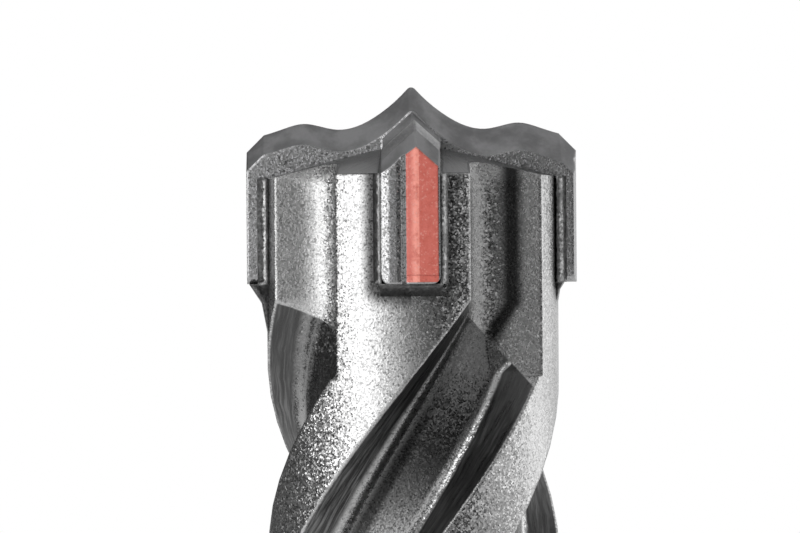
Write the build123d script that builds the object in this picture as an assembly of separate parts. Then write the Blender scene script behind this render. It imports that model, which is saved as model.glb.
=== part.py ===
from build123d import *
import math
import os

# A four-cutter masonry drill bit that stands on the flat end of its shank.
# +Z is the drilling axis and the origin is the centre of the shank's end face.
# The main pair of cutting wings lies along X, and the marked wing faces -Y.
# The bit turns clockwise seen from the shank, so each wing leads with the side
# that comes first in the direction of growing angle about +Z.
# Lengths are in millimetres and angles in degrees.

# Shank, with open drive grooves and two closed locking recesses
SHANK_DIAMETER = 18.0
SHANK_LENGTH = 100.0
SHANK_END_CHAMFER = 1.2
DRIVE_GROOVE_WIDTH = 5.2
DRIVE_GROOVE_DEPTH = 2.9
DRIVE_GROOVE_LENGTH = 68.0
DRIVE_GROOVE_ANGLES = (90.0, 234.0, 306.0)
LOCK_RECESS_WIDTH = 6.0
LOCK_RECESS_DEPTH = 2.6
LOCK_RECESS_START = 21.0
LOCK_RECESS_LENGTH = 26.0
LOCK_RECESS_ANGLES = (0.0, 180.0)

# Turned body
NECK_LENGTH = 8.0
PLAIN_LENGTH = 11.95
BODY_DIAMETER = 22.1
HEAD_CONE_ANGLE = 15.0

# Four helical flutes and the straight notches that lead out of them
ARM_COUNT = 4
FLUTED_LENGTH = 184.0
FLUTE_LEAD = 86.0
FLUTE_ANGLE = 58.5
FLUTE_LEADING_INSET = 15.0
FLUTE_TRAILING_INSET = 10.5
FLUTE_FLOOR_RADIUS = 8.0
FLUTE_FLOOR_FILLET = 1.3
FLUTE_RUNOUT_SLOPE = 0.5
FLUTE_END_TILT = 44.0
HEAD_HEIGHT = 9.15
ARM_LEADING_WIDTH = 4.3
ARM_TRAILING_WIDTH = 5.45
NOTCH_FILLET = 1.5
NOTCH_POCKET_DROP = 3.05
NOTCH_POCKET_SLOPE = 1.1

# One-piece cross of hard metal, brazed into the slots of the head
WING_OVERHANG = 1.45
CUTTER_DIAMETER = BODY_DIAMETER + 2 * WING_OVERHANG
CUTTER_HEIGHT = 14.85
CUTTER_THICKNESS = 4.25
SLOT_DEPTH = 8.05
BRAZE_GAP = 0.1
SECONDARY_DROP = 0.2
ROOF_ANGLE = 42.0
RIDGE_SKEW = 2.0
OUTER_CHAMFER = 1.3
NOSE_RADIUS = 0.4
NOSE_ANGLE = 48.0
FLANK_RADIUS = 2.28
FLANK_DROP = 1.91
VALLEY_RADIUS = 5.7
VALLEY_DROP = 3.17
CREST_RADIUS = 7.8
CREST_DROP = 2.74
SHOULDER_DROP = 3.57
FALL_ANGLE = 15.0
RELIEF = 0.08
WING_CORNER_FILLET = 0.6

# Filler metal that shows round the wings, and the painted wear mark
BEAD_WIDTH = 0.57
FOOT_BEADS = ((0.5, 1.4), (0.7, 0.9), (1.35, 3.6), (0.7, 0.9))
MARK_THICKNESS = 0.06
MARK_WIDTH = 2.3
MARK_INSET = 0.12

# Heights worked out from the stack of lengths
BODY_RADIUS = BODY_DIAMETER / 2
CUTTER_RADIUS = CUTTER_DIAMETER / 2
NECK_TOP = SHANK_LENGTH + NECK_LENGTH
FLUTE_BOTTOM = NECK_TOP + PLAIN_LENGTH
FLUTE_TOP = FLUTE_BOTTOM + FLUTED_LENGTH
RIM = FLUTE_TOP + HEAD_HEIGHT
SLOT_FLOOR = RIM - SLOT_DEPTH
CUTTER_FLOOR = SLOT_FLOOR + BRAZE_GAP
TIP = CUTTER_FLOOR + CUTTER_HEIGHT

# Angles worked out from the widths
TWIST_PER_MM = 360.0 / FLUTE_LEAD
LEAD_EDGE_ANGLE = math.degrees(math.asin(ARM_LEADING_WIDTH / BODY_RADIUS))
TRAIL_EDGE_ANGLE = 90 - math.degrees(math.asin(ARM_TRAILING_WIDTH / BODY_RADIUS))
FLOOR_TRAIL_ANGLE = math.degrees(math.acos(ARM_TRAILING_WIDTH / FLUTE_FLOOR_RADIUS))
FLOOR_TURN = LEAD_EDGE_ANGLE + FLUTE_ANGLE - FLUTE_TRAILING_INSET - FLOOR_TRAIL_ANGLE
FLOOR_MEETS_ARM = FLUTE_TOP - FLOOR_TURN / TWIST_PER_MM
FALL = math.radians(FALL_ANGLE)
CLEAR = 5.0
WALL_OVERRUN = 0.3


def polar(radius, angle, height=0.0):
    """A point at this radius and angle about the axis."""
    turn = math.radians(angle)
    return Vector(radius * math.cos(turn), radius * math.sin(turn), height)


def turned_blank():
    """Shank, neck, body and the cone on top, as one turned piece."""
    shank_radius = SHANK_DIAMETER / 2
    cone_rise = BODY_RADIUS * math.tan(math.radians(HEAD_CONE_ANGLE))
    outline = Polyline(
        (0, 0, 0),
        (shank_radius - SHANK_END_CHAMFER, 0, 0),
        (shank_radius, 0, SHANK_END_CHAMFER),
        (shank_radius, 0, SHANK_LENGTH),
        (BODY_RADIUS, 0, NECK_TOP),
        (BODY_RADIUS, 0, RIM),
        (0, 0, RIM + cone_rise),
        close=True,
    )
    return revolve(make_face(outline), Axis.Z)


def shank_slot(width, depth, low, high, angle):
    """A round-ended slot milled into the side of the shank."""
    floor = SHANK_DIAMETER / 2 - depth
    plane = Plane(origin=(floor, 0, (low + high) / 2), x_dir=(0, 0, 1), z_dir=(1, 0, 0))
    slot = extrude(plane * SlotOverall(high - low, width), depth + CLEAR)
    return Rot(0, 0, angle) * slot


def flute_section():
    """Section of one flute: a gentle wall from +X, a floor, a steeper wall and round corners."""
    gentle_edge = polar(BODY_RADIUS, 0)
    gentle_corner = polar(FLUTE_FLOOR_RADIUS, FLUTE_LEADING_INSET)
    steep_corner = polar(FLUTE_FLOOR_RADIUS, FLUTE_ANGLE - FLUTE_TRAILING_INSET)
    steep_edge = polar(BODY_RADIUS, FLUTE_ANGLE)
    gentle_outer = gentle_edge + (gentle_edge - gentle_corner) * WALL_OVERRUN
    steep_outer = steep_edge + (steep_edge - steep_corner) * WALL_OVERRUN
    walls = Polyline(gentle_outer, gentle_corner, steep_corner, steep_outer)
    mouth = ThreePointArc(steep_outer, polar(BODY_RADIUS + CLEAR, FLUTE_ANGLE / 2), gentle_outer)
    section = make_face(walls + mouth)
    floor_corners = section.vertices().sort_by_distance((0, 0))[:2]
    return fillet(floor_corners, FLUTE_FLOOR_FILLET)


def half_space(origin, direction):
    """A large block that fills the space behind a plane."""
    size = 4 * BODY_DIAMETER + FLUTED_LENGTH
    plane = Plane(origin=origin, z_dir=direction)
    return plane * Box(size, size, size, align=(Align.CENTER, Align.CENTER, Align.MAX))


def flute_bottom(corner_angle, corner_height):
    """Sloped plane across the flute's lower end, where the milling cutter left the round."""
    tilt = math.radians(FLUTE_END_TILT)
    outward = polar(1, corner_angle + FLUTE_ANGLE / 2)
    around = polar(1, corner_angle + FLUTE_ANGLE / 2 + 90)
    along = around * math.sin(tilt) + Vector(0, 0, math.cos(tilt))
    return half_space(polar(BODY_RADIUS, corner_angle, corner_height), -along - outward * FLUTE_RUNOUT_SLOPE)


def flute_cutter():
    """The flute on the leading side of the first arm, kept out of the arm after it."""
    low = FLUTE_BOTTOM - CLEAR
    high = FLUTE_TOP + CLEAR
    start = LEAD_EDGE_ANGLE - (FLUTE_TOP - low) * TWIST_PER_MM
    section = Pos(0, 0, low) * Rot(0, 0, start) * flute_section()
    turn = (high - low) * TWIST_PER_MM
    twisted = Solid.extrude_linear_with_rotation(section.face(), (0, 0, low), (0, 0, high - low), turn)
    bottom_lead = LEAD_EDGE_ANGLE - (FLUTE_TOP - FLUTE_BOTTOM) * TWIST_PER_MM
    next_arm = Box(2 * BODY_DIAMETER, 2 * BODY_DIAMETER, 2 * CUTTER_HEIGHT, align=(Align.MAX, Align.CENTER, Align.MIN))
    next_arm = Pos(ARM_TRAILING_WIDTH, 0, FLOOR_MEETS_ARM) * next_arm
    return (twisted & flute_bottom(bottom_lead, FLUTE_BOTTOM)) - next_arm


def notch_cutter():
    """The straight notch on the leading side of the first arm, down to a pocket in the flute's floor."""
    low = FLOOR_MEETS_ARM
    reach = BODY_RADIUS + CLEAR
    corner = (ARM_TRAILING_WIDTH, ARM_LEADING_WIDTH)
    area = Polyline(
        corner,
        (reach, ARM_LEADING_WIDTH),
        (reach, reach),
        (ARM_TRAILING_WIDTH, reach),
        close=True,
    )
    face = make_face(area)
    face = fillet(face.vertices().sort_by_distance((0, 0))[0], NOTCH_FILLET)
    notch = extrude(Pos(0, 0, low) * face, TIP - low)
    vee = polar(FLUTE_FLOOR_RADIUS, FLOOR_TRAIL_ANGLE, FLUTE_TOP - NOTCH_POCKET_DROP)
    return notch & half_space(vee, Vector(0, -NOTCH_POCKET_SLOPE, -1))


def cross_prism(thickness, radius, low, high):
    """Two crossed bars on the axis."""
    bar = Box(2 * radius, thickness, high - low, align=(Align.CENTER, Align.CENTER, Align.MIN))
    return Pos(0, 0, low) * (bar + Rot(0, 0, 90) * bar)


def steel_body():
    """Turned blank with its shank grooves, flutes, notches and cross slot."""
    body = turned_blank()
    for angle in DRIVE_GROOVE_ANGLES:
        low = -DRIVE_GROOVE_WIDTH
        body -= shank_slot(DRIVE_GROOVE_WIDTH, DRIVE_GROOVE_DEPTH, low, DRIVE_GROOVE_LENGTH, angle)
    for angle in LOCK_RECESS_ANGLES:
        high = LOCK_RECESS_START + LOCK_RECESS_LENGTH
        body -= shank_slot(LOCK_RECESS_WIDTH, LOCK_RECESS_DEPTH, LOCK_RECESS_START, high, angle)
    flute = flute_cutter()
    notch = notch_cutter()
    for index in range(ARM_COUNT):
        turn = Rot(0, 0, index * 360 / ARM_COUNT)
        body -= turn * flute
        body -= turn * notch
    slot = cross_prism(CUTTER_THICKNESS + 2 * BRAZE_GAP, BODY_RADIUS + CLEAR, SLOT_FLOOR, TIP)
    return body - slot


def pair_outline(drop):
    """Area under the cutting edge of two opposite wings, drawn in the XZ plane."""
    top = TIP - drop
    shoulder = CUTTER_RADIUS - OUTER_CHAMFER
    nose = math.radians(NOSE_ANGLE)
    nose_end = (NOSE_RADIUS * math.sin(nose), 0, top - NOSE_RADIUS * (1 - math.cos(nose)))
    nose_middle = (NOSE_RADIUS * math.sin(nose / 2), 0, top - NOSE_RADIUS * (1 - math.cos(nose / 2)))
    shoulder_point = (shoulder, 0, top - SHOULDER_DROP)
    outside = CUTTER_RADIUS + CLEAR
    outside_top = top - SHOULDER_DROP - OUTER_CHAMFER - CLEAR
    edge = ThreePointArc((0, 0, top), nose_middle, nose_end)
    edge += Spline(
        nose_end,
        (FLANK_RADIUS, 0, top - FLANK_DROP),
        (VALLEY_RADIUS, 0, top - VALLEY_DROP),
        (CREST_RADIUS, 0, top - CREST_DROP),
        shoulder_point,
        tangents=[(math.cos(nose), 0, -math.sin(nose)), (math.cos(FALL), 0, -math.sin(FALL))],
    )
    edge += Line(shoulder_point, (outside, 0, outside_top))
    edge += mirror(edge, about=Plane.YZ)
    foot = SLOT_FLOOR - CUTTER_HEIGHT
    edge += Polyline((outside, 0, outside_top), (outside, 0, foot), (-outside, 0, foot), (-outside, 0, outside_top))
    return make_face(edge)


def wing_plan(grow=0.0):
    """Plan of the wing along +X: a two-faced leading land, a relief groove and a rounded back."""
    half = CUTTER_THICKNESS / 2
    radius = CUTTER_RADIUS + grow
    outline = Polyline(
        (0, -half),
        (radius - 4 * RELIEF, -half),
        (radius - 2 * RELIEF, -0.72 * half),
        (radius - 2 * RELIEF, -0.45 * half),
        (radius - 3 * RELIEF, -0.3 * half),
        (radius - RELIEF, -0.1 * half),
        (radius, 0.2 * half),
        (radius - RELIEF, half),
        (0, half),
        close=True,
    )
    return make_face(outline)


def wing_pair(drop, grow=0.0):
    """Two opposite wings along X: their plan raised to full height, under a skewed roof."""
    under = Rot(0, 0, RIDGE_SKEW) * pair_outline(drop)
    down = Vector(0, 0, -math.tan(math.radians(ROOF_ANGLE)))
    across = Vector(0, 1, 0).rotate(Axis.Z, RIDGE_SKEW)
    roof = extrude(under, CUTTER_DIAMETER, dir=down + across)
    roof += extrude(under, CUTTER_DIAMETER, dir=down - across)
    plan = wing_plan(grow)
    block = extrude(Pos(0, 0, CUTTER_FLOOR) * (plan + Rot(0, 0, 180) * plan), TIP - CUTTER_FLOOR)
    long_edges = block.edges().filter_by(Axis.X).group_by(Axis.Z)[0]
    return fillet(long_edges, WING_CORNER_FILLET) & roof


def carbide_cutter():
    """Four wings joined at the axis, the pair along Y a little lower."""
    return wing_pair(0.0) + Rot(0, 0, 90) * wing_pair(SECONDARY_DROP)


def side_bead(side):
    """Bead of filler metal between a wing's flank and the round of its arm."""
    flank = CUTTER_THICKNESS / 2
    outer = (BODY_RADIUS + BEAD_WIDTH, flank)
    inner = (BODY_RADIUS - 0.25 * BEAD_WIDTH, flank + BEAD_WIDTH)
    outline = Polyline(outer, inner, (BODY_RADIUS - BEAD_WIDTH, flank), close=True)
    bead = extrude(Pos(0, 0, CUTTER_FLOOR) * make_face(outline), RIM - CUTTER_FLOOR)
    return bead if side > 0 else mirror(bead, about=Plane.XZ)


def foot_bead(reach, height):
    """Fillet of filler metal under a wing's overhang, turned about the axis."""
    outline = Polyline(
        (BODY_RADIUS + reach, 0, CUTTER_FLOOR),
        (BODY_RADIUS + 0.3 * reach, 0, CUTTER_FLOOR - 0.4 * height),
        (BODY_RADIUS, 0, CUTTER_FLOOR - height),
        (BODY_RADIUS - reach, 0, CUTTER_FLOOR),
        close=True,
    )
    half_angle = math.degrees(math.asin((CUTTER_THICKNESS / 2 + BRAZE_GAP) / BODY_RADIUS))
    return Rot(0, 0, -half_angle) * revolve(make_face(outline), Axis.Z, 2 * half_angle)


def braze_joint(carbide):
    """Filler metal: a thin lining of the slots and the fillets that show outside."""
    blank = turned_blank()
    width = CUTTER_THICKNESS + 2 * BRAZE_GAP
    joint = blank & cross_prism(width, BODY_RADIUS + CLEAR, SLOT_FLOOR, TIP)
    for index, (reach, height) in enumerate(FOOT_BEADS):
        beads = side_bead(1) + side_bead(-1) + foot_bead(reach, height)
        joint += Rot(0, 0, index * 360 / ARM_COUNT) * (beads - blank)
    return joint - carbide


def wear_mark():
    """Film of paint on the leading land of the wing that faces -Y."""
    skin = wing_pair(SECONDARY_DROP, MARK_THICKNESS) - wing_pair(SECONDARY_DROP)
    low = CUTTER_FLOOR + WING_CORNER_FILLET
    edge = CUTTER_THICKNESS / 2 - MARK_INSET
    window = Box(CLEAR, MARK_WIDTH, TIP - low, align=(Align.MAX, Align.MAX, Align.MIN))
    window = Pos(CUTTER_RADIUS + CLEAR / 2, edge, low) * window
    return Rot(0, 0, -90) * (skin & window)


def main():
    """Build each piece and write it to its own file."""
    carbide = carbide_cutter()
    pieces = {
        "steel_body": steel_body(),
        "carbide_cutter": carbide,
        "braze_joint": braze_joint(carbide),
        "wear_mark": wear_mark(),
    }
    os.makedirs("parts", exist_ok=True)
    for name, piece in pieces.items():
        piece.label = name
        export_step(piece, f"parts/{name}.step")


if __name__ == "__main__":
    main()
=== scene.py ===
import math
import bpy
from mathutils import Matrix, Vector


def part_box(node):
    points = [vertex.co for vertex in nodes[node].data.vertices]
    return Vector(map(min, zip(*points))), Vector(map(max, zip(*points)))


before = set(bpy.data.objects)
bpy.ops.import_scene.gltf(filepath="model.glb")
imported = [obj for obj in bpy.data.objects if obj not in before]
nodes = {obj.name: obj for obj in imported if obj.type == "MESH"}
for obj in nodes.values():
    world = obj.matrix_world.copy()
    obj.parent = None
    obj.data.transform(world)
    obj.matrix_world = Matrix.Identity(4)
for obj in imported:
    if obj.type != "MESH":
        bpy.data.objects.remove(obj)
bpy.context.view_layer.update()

QUARTER_TURN = math.pi / 2
PER_METRE = 1000

# Lengths are metres, with the shank's end at height 0
CUTTER_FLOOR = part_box("carbide_cutter")[0].z
BODY_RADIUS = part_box("steel_body")[1].y
OUTER_RADII = (BODY_RADIUS - 0.0003, BODY_RADIUS - 0.0001)
SHANK_TOP = 0.1
NECK_TOP = 0.108
WING_HALF = 0.0023
CONE_FACING = (0.75, 0.92)
ROOF_FACING = (0.2, 0.5)

FLUTE_TOP = CUTTER_FLOOR - 0.0012
FLUTE_LEAD = 0.086
FLUTE_START = math.radians(22.9)
FLUTE_HEIGHTS = (NECK_TOP, FLUTE_TOP + 0.0003, 0.0002)
ARC_PER_DEGREE = 0.00019
STREAK_LENGTH = 0.05

# Zones round a flute in degrees, from the land that leads it: start, end and softness. The ledge
# and fillet bands are painted highlights and the shade band is painted shade.
LEADING_WALL = (-3.0, 7.6, 0.8)
LEDGE_HIGHLIGHT = (8.2, 13.4, 1.2)
RIDGE = (9.6, 11.2, 3.0)
SHADE = (15.4, 23.0, 2.2)
FILLET_HIGHLIGHT = (48.6, 50.8, 0.8)
TRAILING_WALL = (50.6, 62.0, 0.4)

# Over these heights the painted ledge highlight, the painted shade and the streaks fade to this
# share
FADE_HEIGHTS = (FLUTE_TOP - 0.012, FLUTE_TOP - 0.004)
FADED = 0.3

# The notch's two walls and its sloping floor
NOTCH_SIDES = (0.00545, 0.0043)
NOTCH_SOFT = 0.0002
NOTCH_FLOOR_HEIGHT = FLUTE_TOP - 0.00305
NOTCH_FLOOR_AT = 0.00586
NOTCH_FLOOR_SLOPE = 1.1

# The painted shade band in the notch's back wall leans over below the bend
HOLLOW_SHADE = (0.0067, 0.0081, 0.0005)
HOLLOW_SHADE_BEND = CUTTER_FLOOR - 0.0015
HOLLOW_SHADE_LEAN = 0.65
HOLLOW_SHADE_END = (CUTTER_FLOOR - 0.0062, CUTTER_FLOOR - 0.0035)
HOLLOW_SHADE_DEPTH = (NOTCH_SIDES[0] + 0.0006, NOTCH_SIDES[0] + 0.0012)
HOLLOW_SHADE_SHARE = 0.95

# Painted shade on the land close to a wing: less on the wing's right, and further down below it
WING_SHADE_REACH = (0.0005, 0.0016)
WING_SHADE_SHARE = 0.97
WING_SHADE_TURN = (0.7, 0.87)
WING_SHADE_RIGHT = 0.45
WING_SHADE_BELOW = 0.75

# Radii of the softened edges, and where the notch's deep corner gets its own
STEEL_EDGE = 0.00035
NOTCH_CORNER = 0.0034
CORNER_RADII = (0.0088, 0.0106)
CUTTER_EDGE = 0.0003
BRAZE_EDGE = 0.00055
PAINT_EDGE = 0.0002
EDGE_SAMPLES = 12

# Most grains tip a little and a few tip more: grain from, grain to, tilt from, tilt to
STEEL_TILT = (0.6, 1.0, 0.2, 0.52)
CUTTER_TILT = (0.6, 1.0, 0.2, 0.6)

# The red film, its painted highlight strip of paler red in shares of its width, and the painted
# shade strip beside it
MARK_LOW, MARK_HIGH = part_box("wear_mark")
RED = (0.54, 0.125, 0.095)
HIGHLIGHT_RED = (0.8, 0.29, 0.23)
WORN_RED = (0.45, 0.085, 0.06)
RED_SPECK = (0.75, 0.38, 0.33)
HIGHLIGHT_RISE = (0.08, 0.3)
HIGHLIGHT_FALL = (0.39, 0.42)
FILM_SOFT = 0.00003
FILM_FOOT = 0.00012
FILM_OVERLAP = 0.0005
FACE_DEPTH = (0.0005, 0.0006)
SHADE_STRIP = 0.00033
SHADE_STRIP_SOFT = 0.00004

# The photograph's camera: level, close, and turned a little about its own axis
CAMERA_AZIMUTH = math.radians(0.8)
CAMERA_DISTANCE = 0.1975
CAMERA_HEIGHT = 0.3064
CAMERA_SIDEWAYS = -0.00094
CAMERA_LENS = 117.0
CAMERA_ROLL = math.radians(-0.45)

CARD_STEPS = 32
WORLD_SOFT_LEVEL = 0.55


def grey(level, blue=None):
    return (level, level, level if blue is None else blue)


class Nodes:
    """Short calls for building one material's nodes."""

    def __init__(self, name):
        self.material = bpy.data.materials.new(name)
        self.material.use_nodes = True
        self.tree = self.material.node_tree
        self.shader = self.tree.nodes["Principled BSDF"]
        self.position = self.add("ShaderNodeTexCoord").outputs["Object"]

    def add(self, kind, **settings):
        node = self.tree.nodes.new(kind)
        for key, value in settings.items():
            setattr(node, key, value)
        return node

    def fill(self, socket, value):
        """Join another node's output to the socket, or set its value."""
        if isinstance(value, bpy.types.NodeSocket):
            self.tree.links.new(value, socket)
        elif isinstance(value, tuple) and len(socket.default_value) == 4:
            socket.default_value = (*value, 1.0)
        else:
            socket.default_value = value

    def surface(self, colour, roughness, metallic=1.0):
        inputs = self.shader.inputs
        self.fill(inputs["Base Color"], colour)
        self.fill(inputs["Metallic"], metallic)
        self.fill(inputs["Roughness"], roughness)

    def chain(self, kind, values, **settings):
        """A node with its inputs filled in order."""
        node = self.add(kind, **settings)
        for socket, value in zip(node.inputs, values):
            self.fill(socket, value)
        return node.outputs[0]

    def math(self, operation, *values):
        return self.chain("ShaderNodeMath", values, operation=operation)

    def vector(self, operation, *values):
        return self.chain("ShaderNodeVectorMath", values, operation=operation)

    def plus(self, a, b):
        return self.math("ADD", a, b)

    def less(self, a, b):
        return self.math("SUBTRACT", a, b)

    def rest(self, share):
        """What a share leaves of one."""
        return self.math("SUBTRACT", 1.0, share)

    def product(self, *values):
        total = values[0]
        for value in values[1:]:
            total = self.math("MULTIPLY", total, value)
        return total

    def length(self, a, b):
        return self.math("SQRT", self.plus(self.product(a, a), self.product(b, b)))

    def above_zero(self, value):
        return self.math("MAXIMUM", value, 0.0)

    def ramp(self, value, low, high, to_low=0.0, to_high=1.0):
        """Smooth step from low to high."""
        values = (value, low, high, to_low, to_high)
        return self.chain("ShaderNodeMapRange", values, interpolation_type="SMOOTHSTEP")

    def band(self, value, low, high, soft):
        """One between low and high, and nothing outside."""
        rise = self.ramp(value, low - soft, low + soft)
        fall = self.ramp(value, high - soft, high + soft, 1.0, 0.0)
        return self.product(rise, fall)

    def noise(self, per_mm, detail=2.0, stretch=None, roughness=0.5, vector=None):
        """Noise with this many cells in a millimetre."""
        vector = vector or self.position
        if stretch:
            vector = self.vector("MULTIPLY", vector, stretch)
        node = self.add("ShaderNodeTexNoise")
        self.fill(node.inputs["Vector"], vector)
        node.inputs["Scale"].default_value = per_mm * PER_METRE
        node.inputs["Detail"].default_value = detail
        node.inputs["Roughness"].default_value = roughness
        return node.outputs["Fac"]

    def grit(self, per_mm):
        """Random colour for each grain, and the distance from its centre."""
        node = self.add("ShaderNodeTexVoronoi", feature="F1")
        self.fill(node.inputs["Vector"], self.position)
        node.inputs["Scale"].default_value = per_mm * PER_METRE
        return node.outputs["Color"], node.outputs["Distance"]

    def first(self, colour):
        """The colour's first channel."""
        return self.chain("ShaderNodeSeparateColor", (colour,))

    def mix(self, share, a, b):
        """One colour mixed towards another."""
        node = self.add("ShaderNodeMix", data_type="RGBA")
        for index, value in ((0, share), (6, a), (7, b)):
            self.fill(node.inputs[index], value)
        return node.outputs[2]

    def blend(self, share, a, b):
        """One number mixed towards another."""
        node = self.add("ShaderNodeMix", data_type="FLOAT")
        for index, value in ((0, share), (2, a), (3, b)):
            self.fill(node.inputs[index], value)
        return node.outputs[0]

    def facets(self, grains, tilt, edge):
        """The surface's normal with softened edges, tipped a different way in each grain."""
        soft = self.add("ShaderNodeBevel", samples=EDGE_SAMPLES)
        self.fill(soft.inputs["Radius"], edge)
        scaled = self.add("ShaderNodeVectorMath", operation="SCALE")
        self.fill(scaled.inputs[0], self.vector("SUBTRACT", grains, (0.5, 0.5, 0.5)))
        self.fill(scaled.inputs["Scale"], tilt)
        tipped = self.vector("ADD", soft.outputs[0], scaled.outputs[0])
        return self.vector("NORMALIZE", tipped)

    def bump(self, normal, *layers):
        """Layers of (height, strength, distance in mm), one on another."""
        for height, strength, distance in layers:
            node = self.add("ShaderNodeBump")
            node.inputs["Distance"].default_value = distance / PER_METRE
            self.fill(node.inputs["Strength"], strength)
            self.fill(node.inputs["Height"], height)
            self.fill(node.inputs["Normal"], normal)
            normal = node.outputs[0]
        self.fill(self.shader.inputs["Normal"], normal)

    def axes(self, vector=None):
        node = self.add("ShaderNodeSeparateXYZ")
        self.fill(node.inputs[0], vector or self.position)
        return node.outputs

    def upward(self):
        """How far the surface faces up, in the object's frame."""
        return self.axes(self.add("ShaderNodeTexCoord").outputs["Normal"])[2]


def notch_share(n, side_x, side_y, z):
    """One on the notch's own floor and walls."""
    drop = n.product(n.less(side_y, NOTCH_FLOOR_AT), NOTCH_FLOOR_SLOPE)
    over = n.less(n.plus(z, drop), NOTCH_FLOOR_HEIGHT)
    wall_x, wall_y = NOTCH_SIDES
    return n.product(
        n.ramp(over, -NOTCH_SOFT, 0.0),
        n.ramp(side_x, wall_x - NOTCH_SOFT, wall_x - NOTCH_SOFT / 2),
        n.ramp(side_y, wall_y - NOTCH_SOFT, wall_y - NOTCH_SOFT / 2),
    )


def wing_shade_share(n, outer, side_x, side_y, quarter, z):
    """How strong the painted shade on the land close to a wing is."""
    aside = n.above_zero(n.less(n.math("MINIMUM", side_x, side_y), WING_HALF))
    below = n.above_zero(n.product(n.less(CUTTER_FLOOR, z), WING_SHADE_BELOW))
    flank = n.ramp(quarter, *WING_SHADE_TURN, WING_SHADE_RIGHT, 1.0)
    near = n.ramp(n.length(aside, below), *WING_SHADE_REACH, WING_SHADE_SHARE, 0.0)
    return n.product(outer, flank, near)


def hollow_shade_share(n, notch, side_x, side_y, z):
    """How dark the painted shade band in the notch's back wall is."""
    lean = n.product(n.above_zero(n.less(HOLLOW_SHADE_BEND, z)), HOLLOW_SHADE_LEAN)
    return n.product(
        notch,
        n.band(n.plus(side_y, lean), *HOLLOW_SHADE),
        n.ramp(z, *HOLLOW_SHADE_END),
        n.ramp(side_x, *HOLLOW_SHADE_DEPTH, HOLLOW_SHADE_SHARE, 0.0),
    )


def flute_degrees(n, angle, z):
    """Degrees round the flute from the land that leads it."""
    turn = n.product(n.less(FLUTE_TOP, z), 2 * math.pi / FLUTE_LEAD)
    turn = n.plus(turn, n.less(angle, FLUTE_START))
    return n.product(n.math("WRAP", turn, QUARTER_TURN, 0.0), 180 / math.pi)


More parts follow.
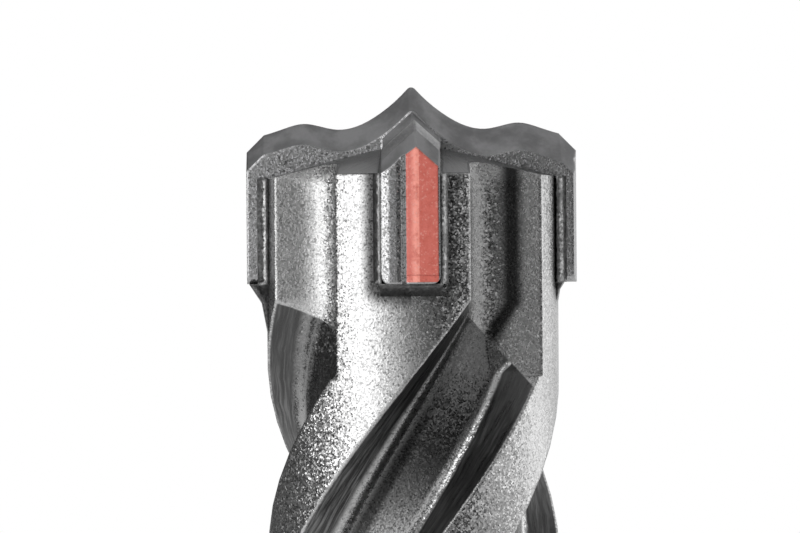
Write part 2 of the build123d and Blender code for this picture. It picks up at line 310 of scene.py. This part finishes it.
def blasted_steel():
    """Shot-blasted steel with milled flute walls, a ground cone and a turned shank, with painted
    shade and highlights.
    """
    n = Nodes("blasted_steel")
    x, y, z = n.axes()
    radius = n.length(x, y)
    angle = n.math("ARCTAN2", y, x)

    # Place in the quarter turn between two wings
    quarter = n.math("WRAP", angle, QUARTER_TURN, 0.0)
    side_x = n.product(radius, n.math("COSINE", quarter))
    side_y = n.product(radius, n.math("SINE", quarter))

    outer = n.ramp(radius, *OUTER_RADII)
    notch = notch_share(n, side_x, side_y, z)
    wing_shade = wing_shade_share(n, outer, side_x, side_y, quarter, z)
    hollow_shade = hollow_shade_share(n, notch, side_x, side_y, z)
    shank = n.ramp(z, SHANK_TOP, NECK_TOP, 1.0, 0.0)
    cone = n.ramp(n.upward(), *CONE_FACING)

    around = flute_degrees(n, angle, z)
    flute = n.product(n.rest(outer), n.rest(notch), n.band(z, *FLUTE_HEIGHTS))
    leading = n.product(flute, n.band(around, *LEADING_WALL))
    trailing = n.product(flute, n.band(around, *TRAILING_WALL))
    wall = n.plus(leading, trailing)
    ledge_highlight = n.product(flute, n.band(around, *LEDGE_HIGHLIGHT))
    ridge = n.band(around, *RIDGE)
    shade = n.product(flute, n.band(around, *SHADE))
    fillet_highlight = n.product(flute, n.band(around, *FILLET_HIGHLIGHT))
    lower = n.ramp(z, *FADE_HEIGHTS, 1.0, FADED)

    grains, dimple = n.grit(per_mm=8.5)
    grain = n.first(grains)
    coarse = n.noise(per_mm=4.5, detail=3.0, roughness=0.6)
    patch = n.noise(per_mm=0.25, detail=3.0)
    turned = n.noise(per_mm=9.0, stretch=(0.02, 0.02, 1.0))
    across = n.product(around, ARC_PER_DEGREE)
    along = n.chain("ShaderNodeCombineXYZ", (across, n.product(z, STREAK_LENGTH), 0.0))
    streak = n.noise(per_mm=6.0, detail=4.0, roughness=0.65, vector=along)
    bright_streak = n.product(lower, n.ramp(streak, 0.4, 0.7))

    steel = n.mix(grain, grey(0.21), grey(0.48))
    steel = n.mix(n.ramp(patch, 0.35, 0.7, 0.0, 0.25), steel, grey(0.24))
    # Painted shade: the flutes darker than the lands
    steel = n.mix(n.product(flute, 0.8), steel, grey(0.05))
    # Painted highlight: the pale band of the ledge
    steel = n.mix(n.product(ledge_highlight, lower, 0.8), steel, grey(0.36))
    # Painted highlight: the pale line along the floor's fillet
    steel = n.mix(n.product(fillet_highlight, 0.8), steel, grey(0.6))
    # Painted shade: the dark band on the flute's floor
    steel = n.mix(n.product(shade, lower, 0.9), steel, grey(0.02))
    # Milled streaks on the walls, which are real, over greys kept dark by painted shade
    steel = n.mix(leading, steel, n.mix(bright_streak, grey(0.05), grey(0.2)))
    steel = n.mix(trailing, steel, n.mix(bright_streak, grey(0.06), grey(0.12)))
    # Painted shade on the land round each wing
    steel = n.mix(wing_shade, steel, grey(0.025))
    # Painted shade: the dark band deep in each notch
    steel = n.mix(hollow_shade, steel, grey(0.015))
    steel = n.mix(cone, steel, grey(0.08, blue=0.083))
    steel = n.mix(shank, steel, grey(0.42))

    smooth = n.math("MAXIMUM", n.math("MAXIMUM", wall, cone), shank)
    rough = n.rest(smooth)
    machined_level = n.ramp(streak, 0.3, 0.7, 0.26, 0.36)
    blasted_level = n.ramp(grain, 0.0, 1.0, 0.26, 0.38)
    n.surface(steel, n.blend(rough, machined_level, blasted_level))

    corner = n.ramp(radius, *CORNER_RADII, NOTCH_CORNER, STEEL_EDGE)
    edge = n.blend(notch, STEEL_EDGE, corner)
    n.bump(
        n.facets(grains, n.product(rough, n.ramp(grain, *STEEL_TILT)), edge),
        (coarse, n.product(rough, 0.3), 0.06),
        (dimple, n.product(rough, 0.2), 0.03),
        (streak, n.product(wall, lower, 0.15), 0.05),
        (ridge, flute, 0.35),
        (turned, n.product(shank, 0.12), 0.02),
    )
    return n.material


def red_with_highlight(n, x):
    """Red, with a painted highlight: paler on the strip beside the crease in the wing's face."""
    width = MARK_HIGH.x - MARK_LOW.x
    rise = n.ramp(x, *(MARK_LOW.x + share * width for share in HIGHLIGHT_RISE))
    fall = n.ramp(x, *(MARK_LOW.x + share * width for share in HIGHLIGHT_FALL), 1.0, 0.0)
    return n.mix(n.product(rise, fall), RED, HIGHLIGHT_RED)


def hard_metal():
    """Sintered hard metal: blasted sides and a ground dark roof, with the mark's foot and a
    painted shade strip beside it.
    """
    n = Nodes("hard_metal")
    x, y, z = n.axes()
    roof = n.ramp(n.upward(), *ROOF_FACING)
    side = n.rest(roof)
    face = n.ramp(y, *(MARK_LOW.y + depth for depth in FACE_DEPTH), 1.0, 0.0)
    paint = n.product(
        n.band(x, MARK_LOW.x, MARK_HIGH.x, FILM_SOFT),
        n.band(z, CUTTER_FLOOR + FILM_FOOT, MARK_LOW.z + FILM_OVERLAP, FILM_SOFT),
        face,
    )
    shade_beside_mark = n.band(x, MARK_LOW.x - SHADE_STRIP, MARK_LOW.x, SHADE_STRIP_SOFT)

    grains, dimple = n.grit(per_mm=9.0)
    grain = n.first(grains)
    coarse = n.noise(per_mm=5.0, detail=3.0, roughness=0.6)
    lines = n.noise(per_mm=5.0, stretch=(1.0, 0.06, 1.0))
    worn = n.ramp(n.noise(per_mm=0.35, detail=4.0, roughness=0.6), 0.35, 0.65)

    colour = n.mix(grain, grey(0.24, blue=0.245), grey(0.36))
    ground = n.mix(worn, grey(0.16, blue=0.163), grey(0.26, blue=0.264))
    colour = n.mix(roof, colour, ground)
    # Painted shade: a dark strip beside the mark's edge
    colour = n.mix(n.product(side, shade_beside_mark, face, 0.9), colour, grey(0.03))
    # The mark's red, with its painted highlight strip
    colour = n.mix(paint, colour, red_with_highlight(n, x))
    ground_level = n.ramp(lines, 0.3, 0.7, 0.36, 0.46)
    blasted_level = n.ramp(grain, 0.0, 1.0, 0.26, 0.42)
    n.surface(colour, n.blend(side, ground_level, blasted_level), metallic=n.rest(paint))

    n.bump(
        n.facets(grains, n.product(side, n.ramp(grain, *CUTTER_TILT)), CUTTER_EDGE),
        (coarse, n.product(side, 0.3), 0.05),
        (dimple, n.product(side, 0.2), 0.03),
        (lines, n.product(roof, 0.08), 0.02),
    )
    return n.material


def braze():
    """Filler metal, wavy and dull with bright specks, and painted shade below the wings."""
    n = Nodes("braze")
    grains, dimple = n.grit(per_mm=6.0)
    flow = n.noise(per_mm=1.1, detail=4.0, stretch=(1.0, 1.0, 0.6), roughness=0.6)
    below = n.ramp(n.axes()[2], CUTTER_FLOOR - 0.0001, CUTTER_FLOOR, 0.75, 0.0)
    colour = n.mix(n.first(grains), grey(0.1), grey(0.36))
    colour = n.mix(n.ramp(flow, 0.35, 0.65, 0.0, 0.6), colour, grey(0.1))
    # Painted shade below the wings
    colour = n.mix(below, colour, grey(0.04))
    n.surface(colour, n.ramp(flow, 0.3, 0.7, 0.28, 0.45))
    n.bump(n.facets(grains, 0.2, BRAZE_EDGE), (flow, 0.5, 0.2), (dimple, 0.25, 0.04))
    return n.material


def mark_paint():
    """Thin red paint over a blasted surface, with a painted highlight strip."""
    n = Nodes("mark_paint")
    grains, dimple = n.grit(per_mm=9.0)
    worn = n.noise(per_mm=1.6, detail=5.0, roughness=0.7)
    speck = n.ramp(n.first(grains), 0.8, 1.0, 0.0, 0.4)
    # Worn red, which is real, and the red with its painted highlight strip
    colour = n.mix(n.ramp(worn, 0.2, 0.6), WORN_RED, red_with_highlight(n, n.axes()[0]))
    colour = n.mix(speck, colour, RED_SPECK)
    n.surface(colour, n.ramp(worn, 0.3, 0.7, 0.34, 0.5), metallic=0.0)
    n.bump(n.facets(grains, 0.12, PAINT_EDGE), (dimple, 0.2, 0.03), (worn, 0.2, 0.05))
    return n.material


def seen_rays(tree):
    """One for camera, glossy and transmission rays, and nothing for the rest."""
    rays = tree.nodes.new("ShaderNodeLightPath")
    seen = rays.outputs["Is Camera Ray"]
    for name in ("Is Glossy Ray", "Is Transmission Ray"):
        add = tree.nodes.new("ShaderNodeMath")
        add.operation = "ADD"
        add.use_clamp = True
        tree.links.new(seen, add.inputs[0])
        tree.links.new(rays.outputs[name], add.inputs[1])
        seen = add.outputs[0]
    return seen


def plain(name, tone, glow=0.0):
    """Even material for the floor and the cards, with a glow that only seen rays meet."""
    n = Nodes(name)
    n.surface(grey(tone), 0.9, metallic=0.0)
    if glow:
        n.fill(n.shader.inputs["Emission Color"], grey(1.0))
        n.fill(n.shader.inputs["Emission Strength"], n.product(seen_rays(n.tree), glow))
    return n.material


def put(name, data):
    """A new object in the scene."""
    holder = bpy.data.objects.new(name, data)
    bpy.context.scene.collection.objects.link(holder)
    return holder


def place(azimuth, distance, height):
    """The point at this many degrees round the bit, from the side of the marked wing."""
    turn = math.radians(azimuth)
    return Vector((distance * math.sin(turn), -distance * math.cos(turn), height))


def area_light(name, azimuth, height, distance, size, power):
    """Softbox aimed at the head."""
    lamp = bpy.data.lights.new(name, "AREA")
    lamp.shape = "RECTANGLE"
    lamp.size, lamp.size_y = size
    lamp.energy = power
    holder = put(name, lamp)
    holder.location = place(azimuth, distance, height)
    aim = Vector((0, 0, CUTTER_FLOOR)) - holder.location
    holder.rotation_euler = aim.to_track_quat("-Z", "Y").to_euler()


def card(name, azimuths, heights, distances, tone):
    """Curved card that steel reflects, left out of the camera's view."""
    low, high = azimuths
    corners = []
    for step in range(CARD_STEPS + 1):
        azimuth = low + (high - low) * step / CARD_STEPS
        for height, distance in zip(heights, distances):
            corners.append(place(azimuth, distance, height))
    faces = [(2 * i, 2 * i + 2, 2 * i + 3, 2 * i + 1) for i in range(CARD_STEPS)]
    mesh = bpy.data.meshes.new(name)
    mesh.from_pydata(corners, [], faces)
    mesh.materials.append(plain(name, tone))
    holder = put(name, mesh)
    holder.visible_camera = False
    holder.visible_diffuse = False
    holder.visible_shadow = False


def make_camera():
    lens = bpy.data.cameras.new("camera")
    lens.sensor_width = 36.0
    lens.lens = CAMERA_LENS
    lens.clip_start = 0.002
    holder = put("camera", lens)
    holder.matrix_world = (
        Matrix.Rotation(CAMERA_AZIMUTH, 4, "Z")
        @ Matrix.Translation((CAMERA_SIDEWAYS, -CAMERA_DISTANCE, CAMERA_HEIGHT))
        @ Matrix.Rotation(QUARTER_TURN, 4, "X")
        @ Matrix.Rotation(CAMERA_ROLL, 4, "Z")
    )
    bpy.context.scene.camera = holder


def make_world():
    """White to the camera and in reflections, and a soft level for the rest."""
    world = bpy.data.worlds.new("studio")
    bpy.context.scene.world = world
    world.use_nodes = True
    tree = world.node_tree
    level = tree.nodes.new("ShaderNodeMapRange")
    tree.links.new(seen_rays(tree), level.inputs["Value"])
    level.inputs["To Min"].default_value = WORLD_SOFT_LEVEL
    level.inputs["To Max"].default_value = 1.0
    back = tree.nodes["Background"]
    back.inputs["Color"].default_value = (1.0, 1.0, 1.0, 1.0)
    tree.links.new(level.outputs[0], back.inputs["Strength"])


def dress(name, material):
    piece = nodes[name]
    piece.data.materials.clear()
    piece.data.materials.append(material)


dress("steel_body", blasted_steel())
dress("carbide_cutter", hard_metal())
dress("braze_joint", braze())
dress("wear_mark", mark_paint())

bpy.ops.mesh.primitive_plane_add(size=3.0, location=(0, 0, 0))
floor = bpy.context.object
floor.name = "floor"
floor.data.materials.append(plain("floor", tone=0.94, glow=0.4))

make_camera()
make_world()
wall_card = {"heights": (0.0, 0.75), "distances": (0.8, 0.8)}
card("front_card", azimuths=(-4.0, 50.0), **wall_card, tone=0.03)
card("left_card", azimuths=(-165.0, -64.0), **wall_card, tone=0.15)
card("ceiling", azimuths=(-180.0, 180.0), heights=(0.85, 0.85), distances=(0.001, 1.1), tone=0.8)
area_light("key", azimuth=-46.0, height=0.42, distance=0.62, size=(0.26, 0.6), power=2.3)
area_light("soft", azimuth=-27.0, height=0.42, distance=0.66, size=(0.16, 0.6), power=0.4)
area_light("rim", azimuth=110.0, height=0.4, distance=0.66, size=(0.46, 0.6), power=1.3)
bpy.context.scene.view_settings.view_transform = "Standard"
